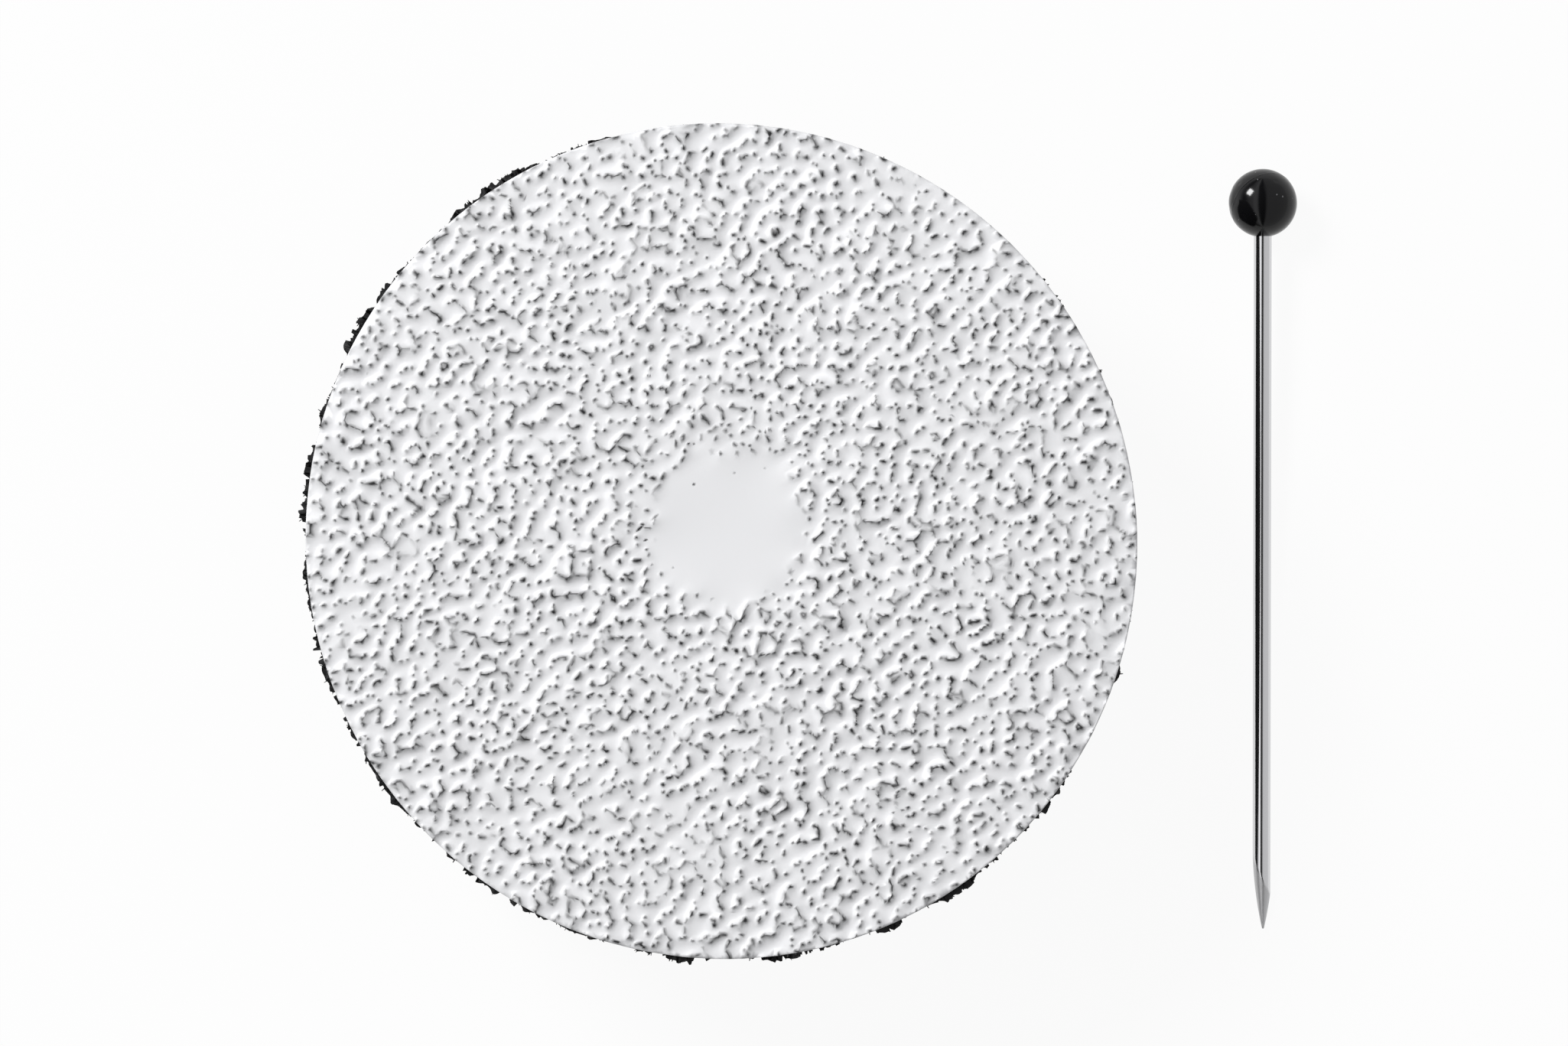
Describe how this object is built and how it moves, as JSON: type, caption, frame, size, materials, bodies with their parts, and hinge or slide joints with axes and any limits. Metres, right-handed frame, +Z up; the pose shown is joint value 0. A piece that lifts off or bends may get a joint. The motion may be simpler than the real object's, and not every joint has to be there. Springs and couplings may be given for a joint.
{
  "type": "pin cushion",
  "caption": "Round black foam pin cushion with a thin white textured film drawn over its flat top and a smooth central dish, with a loose ball-headed steel pin beside it.",
  "frame": {"origin": "middle of the base board's underside, on the surface that the cushion stands on", "axes": "+Z up, square to the base; +X towards the loose pin; +Y along the pin, towards its head"},
  "size_m": [0.0491, 0.0408, 0.015],
  "materials": {
    "board": "matte",
    "adhesive": "satin",
    "foam": "matte",
    "film": "satin",
    "steel": "polished",
    "ball": "gloss"
  },
  "bodies": {
    "cushion": {"base_board": "board", "base_adhesive": "adhesive", "foam_disc": "foam", "cover_film": "film"},
    "pin": {"pin_shank": "steel", "pin_head": "ball"}
  },
  "joints": [
    {"name": "pin_lift", "type": "slide", "parent": "cushion", "child": "pin", "axis": [0, 0, 1], "range_m": [0, 0.03]}
  ]
}
